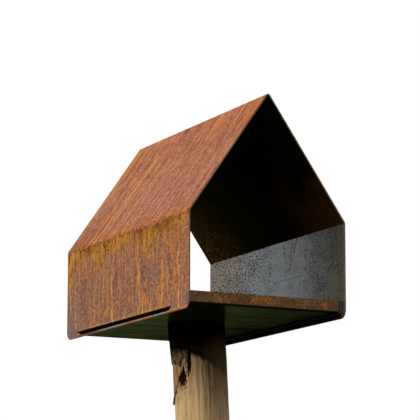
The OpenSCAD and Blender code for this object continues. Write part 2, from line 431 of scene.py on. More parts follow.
def roofOutside(place, y, height, fine):
    # orange-brown rust in fine streaks down the slope
    flow = swayed(place, 24, 0.014)
    streaks = noise(flow, (0, 105, 8), 4, 0.8)
    dashes = noise(flow, (0, 125, 45), 3, 0.75, (0, 7, 0))
    bands = noise(flow, (0, 45, 4), 4, 0.65, (0, 2.3, 0))
    washed = noise(flow, (0, 85, 5), 1, 0.5, (0, 12, 0))
    cloud = noise(place, (15, 15, 15), 3, 0.6, (3, 1, 7))
    grit = noise(place, (140, 140, 220), 2, 0.8, (5, 5, 5))
    broken = smooth(noise(place, (45, 45, 60), 2, 0.5, (6, 6, 6)), 0.38, 0.6)
    tone = add(mul(fine, 1.1), mul(streaks, 1.1), add(mul(dashes, 0.9), mul(bands, 0.4)))
    colour = shades(tone, 1.38, 2.10, [roofLook[key] for key in ("pit", "dark", "base", "light", "pale")])
    # mauve low down and in soft bands, orange near the ridge, the eave and the front gable
    mauve = add(smooth(height, 290, 170, 0, 0.5), add(spread(cloud, 1.4), spread(bands, 2)))
    colour = tinted(smooth(mauve, 0.1, 0.8), colour, *roofLook["mauveTint"])
    front = mul(smooth(y, -120, -halfDepth, 0, 0.45), smooth(height, 190, 280, 0.1, 1))
    ripe = add(smooth(height, 225, 320, 0, 0.65), front)
    ripe = add(ripe, smooth(apart(height, roofLook["eave"]), 18, 3, 0, 0.75))
    ripe = add(ripe, add(spread(cloud, 1.2), spread(bands, 2)))
    colour = tinted(smooth(ripe, 0.2, 0.9), colour, *roofLook["ripeTint"])
    rearFoot = mul(smooth(y, 40, 125), smooth(height, 215, 165))
    colour = tinted(rearFoot, colour, *roofLook["rearTint"])
    colour = tinted(smooth(height, 225, 175), colour, *roofLook["lowTint"])
    # light and dark washed lines on the lower half
    low = mul(smooth(add(height, spread(bands, 200)), 250, 205), smooth(apart(y, 20), 150, 80))
    colour = tinted(mul(smooth(washed, 0.54, 0.64), low), colour, *roofLook["washedLight"])
    colour = tinted(mul(smooth(washed, 0.50, 0.40), low), colour, *roofLook["washedDark"])
    # threads: pale ones low down, orange ones in bands and the long runs that lean as they fall
    lines = threads(flow, 0.004, 0.022, 75, 6, 4)
    pink = mul(smooth(height, 250, 190, 0.5, 0.9), smooth(y, 170, 110, 0.6, 1))
    colour = mix(mul(lines, broken, pink), colour, roofLook["pale"])
    lines = threads(flow, 0.004, 0.018, 40, 2.6, 9)
    colour = mix(mul(lines, linear(bands, 0.35, 0.65, 0, 0.55)), colour, roofLook["run"])
    depth = mul(put("SeparateXYZ", flow).outputs[1], 1000)
    leaning = add(depth, mul(sub(height, 200), 0.2))
    for start, reach, strength in roofLook["longRuns"]:
        run = mul(smooth(apart(leaning, start), 4.2, 1.4), smooth(height, reach, reach - 30))
        colour = mix(mul(run, smooth(fine, 0.36, 0.5, 0.4, 1), strength), colour, roofLook["run"])
    rearRim = mul(smooth(add(y, spread(cloud, 30)), 192, 210), smooth(height, 170, 220, 0.1, 0.5))
    colour = mix(rearRim, colour, steelLook["mustard"])
    # dark grooves towards the ridge, then pits and pale grains
    grooves = threads(flow, 0.004, 0.024, 65, 7, 15)
    high = add(smooth(height, 190, 290), 0.15)
    colour = mix(mul(grooves, high, 0.75), colour, roofLook["groove"])
    colour = laid(colour, roofLook["pit"], grit, 0.42, 0.32, 0.8)
    colour = laid(colour, roofLook["pale"], grit, 0.60, 0.69, 0.65)
    return colour, add(mul(fine, 0.7), mul(streaks, 0.6))


def roofInside(place, y, height):
    # near black, partly soot and partly painted shade for the dark inside of the roof, with rust specks low
    # at the rear, a green film in the middle and rust above the front eaves
    speck = noise(place, (160, 160, 260), 2, 0.8)
    cloud = noise(place, (20, 20, 20), 3, 0.5, (2, 8, 1))
    drift = spread(cloud, 110)
    rear = mul(smooth(add(y, drift), 40, 190), smooth(height, 270, 140))
    low = mul(smooth(add(height, drift), 215, 150), smooth(y, -40, -170))
    mossy = mul(smooth(y, -70, 60, 0, 0.7), smooth(height, 320, 200))
    colour = mix(mossy, steelLook["sootAndShade"], roofLook["insideMoss"])
    colour = mix(mul(add(rear, low), 0.5), colour, roofLook["insideRust"])
    colour = tinted(low, colour, *roofLook["insideTint"])
    colour = mix(mul(smooth(speck, 0.54, 0.64, 0, 0.8), rear), colour, roofLook["insideSpeck"])
    return mix(mul(smooth(speck, 0.46, 0.38, 0, 0.8), rear), colour, steelLook["sootAndShade"])


def wallOutside(place, y, height, fine):
    # brown rust with orange runs, a stain below the eave and a rusty rim round the slot
    flow = swayed(place, 40, 0.012, 2)
    blotch = noise(place, (38, 38, 34), 4, 0.7, (4, 4, 4))
    streaks = noise(flow, (0, 110, 13), 4, 0.75, (0, 1, 0))
    grit = noise(place, (160, 160, 250), 2, 0.8, (5, 5, 5))
    broken = smooth(noise(place, (55, 55, 50), 2, 0.5, (6, 6, 6)), 0.4, 0.58)
    front = smooth(y, -20, -200)
    tone = add(mul(fine, 1.4), mul(streaks, 0.9), mul(grit, 0.7))
    tone = add(tone, smooth(height, 50, 110, 0, 0.05))
    colour = shades(tone, 0.98, 2.06, [steelLook["deep"], wallLook["dark"], wallLook["base"],
                                       wallLook["light"], wallLook["pale"]])
    brown = add(spread(blotch, 2.6), smooth(height, 30, 130, -0.12, 0.2))
    brown = add(brown, mul(front, 0.15), spread(streaks, 1.2))
    colour = tinted(smooth(brown, -0.05, 0.5), colour, *wallLook["brownTint"])
    # mauve lower corners, calmer than the rest
    ragged = spread(blotch, 60)
    corner = mul(smooth(add(y, ragged), 150, 190), smooth(height, 80, 20))
    frontFoot = mul(smooth(add(y, ragged), -150, -176), smooth(add(height, mul(ragged, 0.6)), 40, 22))
    corner = larger(corner, mul(frontFoot, 0.75))
    colour = mix(mul(corner, 0.75), colour, steelLook["mauve"])
    calm = sub(1, mul(corner, 0.8))
    # dark and orange threads, grit and specks
    dark = mul(smooth(height, 20, 110, 0.35, 0.9), smooth(broken, 1, 0.2, 0.4, 1))
    dark = mul(threads(flow, 0.006, 0.03, 60, 5, 1), dark)
    colour = mix(mul(dark, 0.45, calm), colour, steelLook["deep"])
    orange = mul(smooth(streaks, 0.53, 0.63, 0, 0.5), broken)
    colour = mix(mul(orange, calm), colour, wallLook["orange"])
    lines = mul(threads(flow, 0.006, 0.03, 34, 8, 6), broken)
    colour = mix(mul(lines, 0.7, calm), colour, wallLook["orange"])
    colour = laid(colour, steelLook["deep"], grit, 0.41, 0.33, 0.35)
    colour = laid(colour, wallLook["pale"], grit, 0.57, 0.66, 0.3)
    specks = smooth(add(grit, mul(front, 0.02)), 0.62, 0.70, 0, 0.7)
    colour = mix(mul(specks, calm), colour, wallLook["run"])
    flecks = mul(smooth(add(blotch, mul(fine, 0.35)), 0.70, 0.80), smooth(y, -90, -170))
    colour = mix(mul(flecks, smooth(height, 135, 95, 0.1, 0.7)), colour, wallLook["orange"])
    # the rusty seam above the slot, then the long runs and the stain
    slotFront, slotRear = wallMarks["slotFront"], wallMarks["slotRear"]
    above = apart(add(height, spread(fine, 8)), wallMarks["slotTop"] + 1.4)
    ends = mul(smooth(y, slotRear - 3, slotRear - 15), smooth(y, slotFront - 7, slotFront + 2))
    seam = mul(smooth(above, 2.2, 0.6), ends, smooth(blotch, 0.42, 0.56, 0.15, 0.85))
    colour = mix(seam, colour, wallLook["orange"])
    runs = mul(rustRuns(place, y, height), smooth(fine, 0.36, 0.52, 0.45, 1))
    colour = mix(runs, colour, wallLook["run"])
    colour = eaveStain(place, flow, y, height, fine, colour)
    # the strip under the slot, bare and rusty by turns, and the rusty rim in front of it
    inFront = smooth(y, slotFront + 7, slotFront - 7, 0, 2)
    below = mul(smooth(sub(height, inFront), 3.4, 2.4), smooth(y, slotRear + 1, slotRear - 9))
    rusty = profile(add(y, spread(blotch, 12)), wallMarks["strip"])
    strip = mix(rusty, wallLook["stripGrey"], wallLook["orange"])
    strip = laid(strip, steelLook["umber"], y, 84, 100, 0.75)
    strip = laid(strip, steelLook["deep"], fine, 0.50, 0.38, 0.8)
    strip = laid(strip, steelLook["umber"], height, 1.4, 0.6, 0.8)
    return mix(below, colour, strip), add(fine, mul(streaks, 0.4))


def eaveStain(place, flow, y, height, fine, under):
    # yellow-brown stain that ran down from the eave, each strand as long as its own noise says
    strand = noise(flow, (0, 75, 2), 3, 0.75, (0, 5.7, 0))
    strokes = noise(flow, (0, 100, 26), 3, 0.75, (0, 3.1, 0))
    lumps = noise(place, (0, 70, 70), 3, 0.65, (0, 8.2, 0))
    reach = mul(profile(y, wallMarks["stain"]), smooth(strand, 0.38, 0.62, 0.45, 1.3))
    below = sub(wallTall - 1.5, height)
    inStain = smooth(sub(mul(reach, linear(lumps, 0.3, 0.7, 0.6, 1.4)), below), -0.8, 1.2)
    brown = profile(y, wallMarks["brown"])
    tone = add(strokes, spread(fine, 0.9), spread(brown, -0.1))
    colour = shades(tone, 0.34, 0.68, [steelLook["umber"], wallLook["ochre"], steelLook["mustard"],
                                       steelLook["mustard"], wallLook["run"]])
    colour = mix(mul(brown, 0.85), colour, wallLook["stainBrown"])
    dark = threads(flow, 0.008, 0.04, 60, 9, 11)
    colour = mix(mul(dark, 0.75), colour, steelLook["umber"])
    stained = mix(mul(inStain, 0.95), under, colour)
    # the bend itself stays roof-coloured, down to a wavering line that is darkened in places
    bend = add(spread(lumps, 20), smooth(calc("ABSOLUTE", add(y, 95)), 60, 25, 0, 2))
    past = sub(below, bend)
    rim = mul(smooth(apart(past, 1.8), 2, 0.5, 0, 0.7), smooth(strand, 0.4, 0.55))
    stained = mix(rim, stained, steelLook["umber"])
    rusty = laid(roofLook["dark"], roofLook["light"], fine, 0.4, 0.6)
    return laid(stained, tinted(1, rusty, *wallLook["bendTint"]), past, 1.2, -0.4)


def nearLine(y, height, start, end, width):
    # 1 within a strip round the straight line from start to end, each a depth and a height
    (fromY, fromZ), (toY, toZ) = start, end
    length = math.hypot(toY - fromY, toZ - fromZ)
    alongY, alongZ = (toY - fromY) / length, (toZ - fromZ) / length
    off = add(mul(sub(y, fromY), -alongZ), mul(sub(height, fromZ), alongY))
    walked = add(mul(sub(y, fromY), alongY), mul(sub(height, fromZ), alongZ))
    inside = mul(smooth(walked, -2, 3), smooth(walked, length + 2, length - 3))
    return mul(smooth(calc("ABSOLUTE", off), width, width * 0.4), inside)


def wallInside(place, y, height):
    # mill scale: speckled at the rear and above, clean and bluish in the middle, olive at the front edge
    grit = noise(place, (0, 200, 330), 2, 0.8, (1, 2, 3))
    fine = noise(place, (0, 240, 380), 2, 0.8, (3, 2, 1))
    cloud = noise(place, (0, 24, 40), 4, 0.65, (8, 2, 3))
    broad = noise(place, (14, 14, 14), 2, 0.5, (2, 6, 3))
    scrape = noise(place, (0, 14, 120), 3, 0.6, (0, 5, 2), twist=0.4)
    ragged = spread(cloud, 110)
    rear = smooth(add(y, mul(ragged, 0.7), mul(height, 0.8)), 80, 150)
    front = smooth(add(y, mul(ragged, 0.6), mul(height, -0.25)), -100, -135)
    upper = mul(smooth(add(height, ragged), 70, 110), smooth(add(y, mul(ragged, 0.5)), -20, 20))
    density = larger(rear, mul(upper, 0.8), mul(front, 0.7))
    bent = add(height, spread(fine, 8))
    trail = 0
    for start, end, width in wallMarks["specks"]:
        near = nearLine(y, bent, start, end, width)
        density = larger(density, near)
        if width < wallMarks["narrow"]:
            trail = larger(trail, mul(near, smooth(fine, 0.62, 0.45)))
    tone = add(mul(cloud, 0.3), mul(fine, add(0.3, mul(density, 0.55))))
    tone = sub(tone, mul(density, 0.25))
    colour = shades(tone, 0.14, 0.50, [wallLook["scaleDark"], wallLook["scale"], wallLook["scaleLight"],
                                       wallLook["scalePale"]])
    scraped = mul(smooth(scrape, 0.54, 0.66, 0, 0.35), sub(1, density))
    colour = mix(scraped, colour, wallLook["scaleLight"])
    # painted shade: the inside is drawn darker towards the front, where its sheen mirrors the dark inside of
    # the house
    colour = tinted(smooth(y, -70, -150), colour, *wallLook["scaleFrontShade"])
    olive = smooth(add(y, spread(broad, 90)), -158, -205)
    colour = mix(mul(olive, 0.8), colour, wallLook["scaleOlive"])
    brown = mul(smooth(add(y, spread(broad, 70)), 40, 150), smooth(cloud, 0.36, 0.60, 0.5, 1))
    colour = tinted(brown, colour, *wallLook["scaleRear"])
    spots = smooth(add(grit, mul(density, 0.11), spread(cloud, -0.2)), 0.64, 0.70)
    rusty = mul(smooth(y, 30, 130), smooth(cloud, 0.42, 0.55))
    rusty = mix(rusty, wallLook["scaleDark"], wallLook["scaleRust"])
    colour = mix(mul(spots, smooth(y, -60, -150, 0.7, 0.4)), colour, rusty)
    scratch = mul(nearLine(y, height, *wallMarks["scratch"]), 0.55)
    for mark in (mul(trail, 0.7), scratch):
        colour = mix(mark, colour, wallLook["scaleDark"])
    # painted shade: black where the wall's inside lies in shade below the tray
    underTrayShade = mul(smooth(height, 9, 6.5), smooth(y, -207, -202))
    colour = mix(underTrayShade, colour, steelLook["sootAndShade"])
    sheen = mul(sub(1, mul(spots, 0.8)), sub(0.8, mul(olive, 0.35)))
    return colour, between(spots, 0.38, 0.7), mul(sheen, sub(1, underTrayShade))


trayLook = {
    "lipDark": rgb(98, 70, 44), "lip": rgb(142, 101, 64), "lipOrange": rgb(194, 124, 64),
    "lipMoss": rgb(126, 106, 64), "floor": rgb(92, 70, 50), "floorLight": rgb(136, 104, 78),
    # the underside's greens are painted reflection of the grass below
    "under": rgb(41, 47, 24), "underDark": rgb(22, 26, 10),
    "rough": 0.85, "underRough": 0.22,
    # where the lips turn mauve and where the painted shade along the walls begins, measured inwards from the
    # walls
    "mauveCorner": (14.8, 9.8), "wallShadeStrip": (21.8, 15.8),
}


def trayMaterial(name):
    material, shader = newMaterial(name, specular=0.1)
    place, (x, y, z), facing = position()
    rise = sub(z, trayLow.z * 1000)
    fromWall = sub(trayHigh.x * 1000, calc("ABSOLUTE", x))
    fromGable = sub(trayHigh.y * 1000, calc("ABSOLUTE", y))
    fine = noise(place, (300, 300, 300), 4, 0.8)
    blotch = noise(place, (105, 105, 105), 4, 0.75, (4, 1, 9))
    patch = noise(place, (52, 52, 52), 4, 0.75, (6, 3, 9))
    tone = add(fine, mul(blotch, 0.8))
    colour = shades(tone, 0.60, 1.16, [steelLook["deep"], trayLook["lipDark"], trayLook["lip"],
                                       trayLook["lipOrange"]])
    colour = laid(colour, trayLook["lipMoss"], patch, 0.50, 0.40, 0.5)
    ripe = mul(smooth(patch, 0.53, 0.6), smooth(fine, 0.38, 0.55))
    colour = mix(ripe, colour, trayLook["lipOrange"])
    colour = laid(colour, steelLook["mauve"], fromWall, *trayLook["mauveCorner"], 0.6)
    dusty = laid(trayLook["floor"], trayLook["floorLight"], add(fine, blotch), 0.85, 1.15)
    colour = laid(colour, dusty, facing[2], 0.5, 0.8)
    # painted shade: the bend below the lips, which faces down into shade, is drawn black, and so are the
    # strips of the underside along the walls, where the walls' shade falls
    bend = mul(smooth(rise, 8, 3), smooth(facing[2], 0.02, -0.2))
    colour = mix(bend, colour, steelLook["sootAndShade"])
    shadedByWall = smooth(fromWall, *trayLook["wallShadeStrip"])
    strip = mul(shadedByWall, smooth(fromGable, 2, 5), smooth(rise, 16, 12))
    colour = mix(strip, colour, steelLook["sootAndShade"])
    feedAll(shader, {"Base Color": colour, "Roughness": trayLook["rough"],
                     "Normal": bumped(fine, 0.5, 0.0006)})
    # the underside is dark: dull dark green with a dim mirror drawn out across the house. Its greens and the
    # mirror's brightness, falling from -X towards +X and fading near the walls and bends, are painted
    # reflection of the grass below and painted shade
    streaks = noise(place, (9, 210, 1), 4, 0.65, (2, 2, 2))
    patches = noise(place, (24, 24, 24), 3, 0.5, (7, 2, 2))
    # painted reflection: brighter towards -X, dimmed near the walls and where the underside bends
    paintedReflectionLevel = add(smooth(x, -130, 130, 2.1, 0.45), spread(patches, 1.2))
    paintedReflectionLevel = mul(paintedReflectionLevel, sub(1, shadedByWall), smooth(facing[2], -0.96, -0.995))
    tone = laid(trayLook["underDark"], trayLook["under"], streaks, 0.36, 0.64)
    tone = put("VectorMath", tone, operation="SCALE")
    feed(tone.inputs["Scale"], paintedReflectionLevel)
    dull = put("BsdfDiffuse", trayLook["underDark"])
    mirror = put("BsdfGlossy", tone.outputs[0])
    feedAll(mirror, {"Roughness": trayLook["underRough"], "Normal": bumped(streaks, 0.35, 0.0006)})
    both = put("AddShader", dull.outputs[0], mirror.outputs[0])
    down = smooth(facing[2], -0.25, -0.6)
    blend = put("MixShader", down, shader.outputs[0], both.outputs[0])
    output = next(node for node in material.node_tree.nodes if node.type == "OUTPUT_MATERIAL")
    feed(output.inputs["Surface"], blend.outputs[0])
    return material


screwLook = {"zinc": rgb(176, 174, 168), "dull": rgb(120, 112, 100), "rough": (0.3, 0.55)}


def screwMaterial(name):
    # zinc-plated steel, dulled and rusty in patches
    material, shader = newMaterial(name, specular=0.4, metallic=0.9)
    place = position()[0]
    fine = noise(place, (700, 700, 700), 3, 0.7)
    patch = noise(place, (140, 140, 140), 3, 0.6, (3, 1, 4))
    colour = laid(screwLook["zinc"], screwLook["dull"], patch, 0.4, 0.62)
    colour = laid(colour, steelLook["edgeRust"], fine, 0.58, 0.68, 0.6)
    feedAll(shader, {"Base Color": colour,
                     "Roughness": smooth(add(fine, patch), 0.8, 1.2, *screwLook["rough"]),
                     "Normal": bumped(fine, 0.3, 0.0002)})
    return material


def dress(material, *names):
    for name in names:
        slots = nodes[name].data.materials
        slots.clear()
        slots.append(material)


dress(steelMaterial("wallSteel", "wall"), "left_wall", "right_wall")
dress(steelMaterial("roofSteel", "roof"), "left_roof", "right_roof")
dress(trayMaterial("traySteel"), "floor_plate", "front_lip", "rear_lip", "left_lip", "right_lip")
screwNodes = [kind + str(number) for kind in ("screw_", "washer_") for number in (1, 2, 3, 4)]
dress(screwMaterial("screwSteel"), *screwNodes)
print("steel finished")

# the post and its bark

postShape = {
    "topRadius": 0.0385, "footRadius": 0.046, "bow": 0.011, "shift": 0.004, "bowTurn": -26.5,
    "unevenness": 0.0012, "sides": 288, "seam": 60,
    "mapRadius": 40,  # mm, at which turns become distances round the post
    "fineReach": 0.19, "fineStep": 0.0011, "coarseStep": 0.0095,
    # swellings over grown-over knots: direction, share of the height, rise; and their spread round and along
    "knots": [(285, 0.6, 4), (130, 0.37, 3.5), (20, 0.78, 3)], "knotSize": (0.08, 0.035),
    # cracks: direction, upper and lower end below the top in mm, half width and depth in mm
    "cracks": [(221, 16, 78, 1.7, 7), (216.5, 42, 86, 1.2, 4), (251, 52, 100, 1.2, 0.6),
               (279, 58, 150, 1.2, 0.8), (300, 165, 900, 1.5, 5), (18, 60, 760, 1.6, 5),
               (120, 240, 1150, 1.6, 5), (205, 300, 820, 1.4, 4), (160, 900, 1500, 1.4, 4),
               (265, 800, 1450, 1.4, 4), (345, 700, 1300, 1.2, 3)],
    # how the cracks stray sideways: reach, length and phase of each wave
    "sway": [(1.3, 31, 1), (0.7, 11, 0), (2.5, 190, 0)],
    "crackTip": 12,  # length over which a crack opens at either end
    # the hollow torn open beside the bark: direction, depth below the top, half sizes and depth in mm
    "hollow": (198, 81, 8.6, 15, 7.5),
}
barkShape = {
    "turns": (78, 220), "reach": 0.118, "innerThick": 0.0014, "outerThick": 0.0046, "play": 0.00015,
    "innerGrid": (150, 170), "outerGrid": (150, 130),
    "mapRadius": 41,  # mm
    "curl": 2.6,  # mm by which the tip of the inner layer stands off
    "drawnIn": 4.5,  # degrees by which the layers narrow beside the hollow
}


def waves(across, along, size, count, seed):
    # soft noise between -1 and 1: count cosine waves of random heading, with crests about size apart
    dice = np.random.default_rng(seed)
    heading = dice.uniform(0, 2 * np.pi, count)
    pace = 2 * np.pi / size * dice.uniform(0.6, 1.5, count)
    start = dice.uniform(0, 2 * np.pi, count)
    total = np.zeros(np.broadcast(across, along).shape)
    for turn, speed, phase in zip(heading, pace, start):
        total += np.cos(speed * (np.cos(turn) * across + np.sin(turn) * along) + phase)
    return total / np.sqrt(count) / 1.4


def rising(value, start, length):
    # straight ramp from 0 at the start to 1 a length further on
    return np.clip((value - start) / length, 0, 1)


def bell(value, middle, width):
    return np.exp(-((value - middle) / width) ** 2)


def wrapped(turn):
    return (turn + 180) % 360 - 180


def skinRadius(turn, share):
    # radius = taper + unevenness * (0.6 sin(2 turn) + 0.4 sin(3 turn) + rounded swellings over the knots);
    # the two waves twist by 160 and 250 degrees over the height
    angle = np.radians(turn)
    radius = postShape["footRadius"] + (postShape["topRadius"] - postShape["footRadius"]) * share
    uneven = 0.6 * np.sin(2 * angle + np.radians(160 * share))
    uneven = uneven + 0.4 * np.sin(3 * angle - np.radians(250 * share))
    knotWide, knotHigh = postShape["knotSize"]
    for knotTurn, knotShare, rise in postShape["knots"]:
        near = (np.cos(angle - np.radians(knotTurn)) - 1) / knotWide - ((share - knotShare) / knotHigh) ** 2
        uneven = uneven + rise * np.exp(near)
    return radius + postShape["unevenness"] * uneven


def onPost(turn, height, outward):
    # centreline offset = (6.75 bow (1 - share) - shift share) share^2 along the bow's heading;
    # 6.75 makes the bow's peak, at two thirds of the height, as large as the bow
    share = height / postHigh.z
    offset = (6.75 * postShape["bow"] * (1 - share) - postShape["shift"] * share) * share ** 2
    radius = skinRadius(turn, share) + outward
    heading = math.radians(postShape["bowTurn"])
    x = offset * math.cos(heading) + radius * np.cos(np.radians(turn))
    y = offset * math.sin(heading) + radius * np.sin(np.radians(turn))
    return np.stack(np.broadcast_arrays(x, y, height), -1)


def addMesh(name, points, faces, replaced, material, smoothUpTo=None):
    mesh = bpy.data.meshes.new(name)
    mesh.from_pydata(points.reshape(-1, 3).tolist(), [], faces)
    mesh.polygons.foreach_set("use_smooth", np.arange(len(faces)) < (smoothUpTo or len(faces)))
    mesh.materials.append(material)
    piece = bpy.data.objects.new(name, mesh)
    scene.collection.objects.link(piece)
    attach(piece, "root")
    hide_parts(replaced)
    return piece


def gridQuads(rows, columns, closed):
    # corner numbers of a grid's quads, anticlockwise seen with rows running up and columns to the right
    row = np.arange(rows - 1)[:, None]
    column = np.arange(columns if closed else columns - 1)[None, :]
    after = (column + 1) % columns
    quads = np.stack([row * columns + column, row * columns + after,
                      (row + 1) * columns + after, (row + 1) * columns + column], -1)
    return quads.reshape(-1, 4)


def setPointValues(piece, name, values):
    layer = piece.data.attributes.new(name, "FLOAT", "POINT")
    layer.data.foreach_set("value", np.ascontiguousarray(values, dtype=np.float32).ravel())


def setGrainMap(piece, across, along):
    # flat map of the skin in metres: across round the post, along up it; values are per corner
    layer = piece.data.uv_layers.new(name="grain")
    layer.data.foreach_set("uv", np.stack([across, along], -1).astype(np.float32).ravel())


def carvePost(turn, height):
    # how deep cracks and hollow cut into the skin, and the relief of the grain, both in metres.
    # A crack is a wedge round a swaying line; the hollow is a dome whose rim and floor are torn by waves
    radius = postShape["mapRadius"]
    below = (postHigh.z - height) * 1000
    arc = np.radians(turn) * radius
    sway = sum(reach * np.sin(below / length + phase) for reach, length, phase in postShape["sway"])
    tip = postShape["crackTip"]
    cut = np.zeros(np.broadcast(turn, height).shape)
    for crackTurn, top, foot, width, depth in postShape["cracks"]:
        straying = sway * min(1, (foot - top) / 90)  # a short crack strays less
        off = np.abs(np.radians(wrapped(turn - crackTurn)) * radius + straying)
        span = rising(below, top, tip) * rising(-below, -foot, tip)
        wedge = np.clip(1 - off / (width * (0.35 + 0.65 * span)), 0, 1) ** 0.6
        cut = np.maximum(cut, depth * span * wedge)
    hollowTurn, hollowDepth, halfWide, halfHigh, depth = postShape["hollow"]
    ragged = 1 + 0.35 * waves(arc, below * 0.3, 3, 14, 5)
    aside = np.radians(wrapped(turn - hollowTurn)) * radius
    far = (aside / halfWide) ** 2 + ((below - hollowDepth) / halfHigh) ** 2
    strands = 0.62 + 0.38 * waves(arc, below * 0.08, 2.4, 16, 8)
    cut = np.maximum(cut, depth * np.sqrt(np.clip(1 - far * ragged ** 2, 0, 1)) * strands)
    grain = 0.14 * waves(arc, below * 0.05, 2.6, 24, 3) + 0.25 * waves(arc, below * 0.03, 9, 12, 4)
    return cut / 1000, grain / 1000


def buildPost(material):
    # rings of points on the carved skin, close together near the top, with flat caps
    top = postHigh.z
    fine = np.arange(top - postShape["fineReach"], top - 1e-6, postShape["fineStep"])
    coarse = np.arange(0, top - postShape["fineReach"] - 0.004, postShape["coarseStep"])
    heights = np.concatenate([coarse, fine, [top]])
    turns = (postShape["seam"] + np.arange(postShape["sides"]) * 360 / postShape["sides"])[None, :]
    cut, grain = carvePost(turns, heights[:, None])
    points = onPost(turns, heights[:, None], grain - cut)
    rows, columns = points.shape[:2]
    quads = gridQuads(rows, columns, True)
    last = (rows - 1) * columns
    caps = [list(range(columns - 1, -1, -1)), list(range(last, last + columns))]
    piece = addMesh("round_post", points, quads.tolist() + caps, "post", material, len(quads))
    setPointValues(piece, "cut", cut * 1000)
    column = quads % columns
    column[(column == 0) & (column[:, :1] == columns - 1)] = columns  # the last quads close the ring
    capCorners = np.array(caps[0] + caps[1])
    column = np.concatenate([column.ravel(), capCorners % columns])
    row = np.concatenate([quads.ravel(), capCorners]) // columns
    setGrainMap(piece, column / columns * 2 * np.pi * postShape["mapRadius"] / 1000, heights[row])


def barkReach(layer, share):
    # how far a layer hangs down over its width, as a share of the full reach. The inner one is a bell with
    # fine teeth, torn off beside the hollow; the outer one ends nearly level, with a tongue and a notch
    if layer == "inner":
        teeth = 0.015 * np.sin(38 * share) + 0.02 * waves(share * 100, 0 * share, 4, 9, 21)
        return 0.56 + 0.44 * bell(share, 0.5, 0.3) - 0.07 * rising(share, 0.76, 0.1) + teeth
    teeth = 0.02 * np.sin(20 * share) + 0.02 * waves(share * 100, 0 * share, 5, 9, 22)
    return 0.49 + 0.075 * bell(share, 0.83, 0.05) - 0.05 * bell(share, 0.93, 0.03) + teeth


def thickPatch(outer, inner):
    # two grids of the same size, rows running down, joined round their border into a closed body
    rows, columns = outer.shape[:2]
    quads = gridQuads(rows, columns, False)
    index = np.arange(rows * columns).reshape(rows, columns)
    border = np.concatenate([index[0, :-1], index[:-1, -1], index[-1, :0:-1], index[:0:-1, 0]])
    after = np.roll(border, -1)
    back = rows * columns
    rim = np.stack([border, border + back, after + back, after], -1)
    faces = np.concatenate([quads[:, ::-1], quads + back, rim])
    return np.concatenate([outer.reshape(-1, 3), inner.reshape(-1, 3)]), faces


def buildBark(name, node, layer, material):
    # outer and inner face follow the skin; the thickness fades towards the foot and at the torn rim
    shape = barkShape
    rows, columns = shape[layer + "Grid"]
    share = np.linspace(0, 1, columns)[None, :]
    down = np.linspace(0, 1, rows)[:, None]
    firstTurn, lastTurn = shape["turns"]
    turn = firstTurn + (lastTurn - firstTurn) * share
    reach = shape["reach"] * barkReach(layer, share)
    height = postHigh.z - reach * down
    below = reach * down * 1000
    arc = np.radians(turn) * shape["mapRadius"]
    edge = 1.2 * waves(below, 0 * below, 14, 8, 31) + 0.5 * waves(below, 0 * below, 4, 8, 32)
    turn = turn + edge * rising(np.abs(share - 0.5), 0.4, 0.1)
    turn = turn - shape["drawnIn"] * rising(below, 30, 35) * rising(share, 0.8, 0.2)
    rim = rising(np.minimum(share, 1 - share), 0, 0.02) ** 0.5
    foot = rising(1 - down, 0, 0.05) ** 0.5
    if layer == "inner":
        seat = shape["play"]
        thick = shape["innerThick"] * (1 - 0.3 * down) * (0.45 + 0.55 * rim * foot)
        relief = 0.16 * waves(arc, below * 0.12, 2.2, 22, 41) + 0.1 * waves(arc, below, 5, 12, 42)
        lift = shape["curl"] * bell(share, 0.56, 0.04) * rising(down, 0.86, 0.14) ** 2
    else:
        seat = 2 * shape["play"] + shape["innerThick"]
        thick = shape["outerThick"] * (1 - 0.7 * down) * (0.5 + 0.5 * rim * foot)
        knobs = 1 - np.abs(waves(arc, below, 7.5, 16, 51)) * 1.3
        plates = np.clip(waves(arc, below * 0.7, 12, 12, 52) * 1.5, -1, 1)
        relief = 0.55 * knobs + 0.5 * plates + 0.28 * waves(arc, below, 2.6, 22, 53)
        relief = relief * (1 - 0.45 * down) * rim
        lift = 0 * share
    outer = onPost(turn, height, seat + thick + (relief + lift) / 1000)
    inner = onPost(turn, height, seat + 0.8 * lift / 1000)
    points, faces = thickPatch(outer, inner)

    def onBothFaces(values):
        return np.tile(np.broadcast_to(values, (rows, columns)).ravel(), 2)

    piece = addMesh(name, points, faces.tolist(), node, material)
    setPointValues(piece, "relief", onBothFaces(relief))
    setPointValues(piece, "down", onBothFaces(down))
    setGrainMap(piece, onBothFaces(arc / 1000)[faces.ravel()], onBothFaces(height)[faces.ravel()])


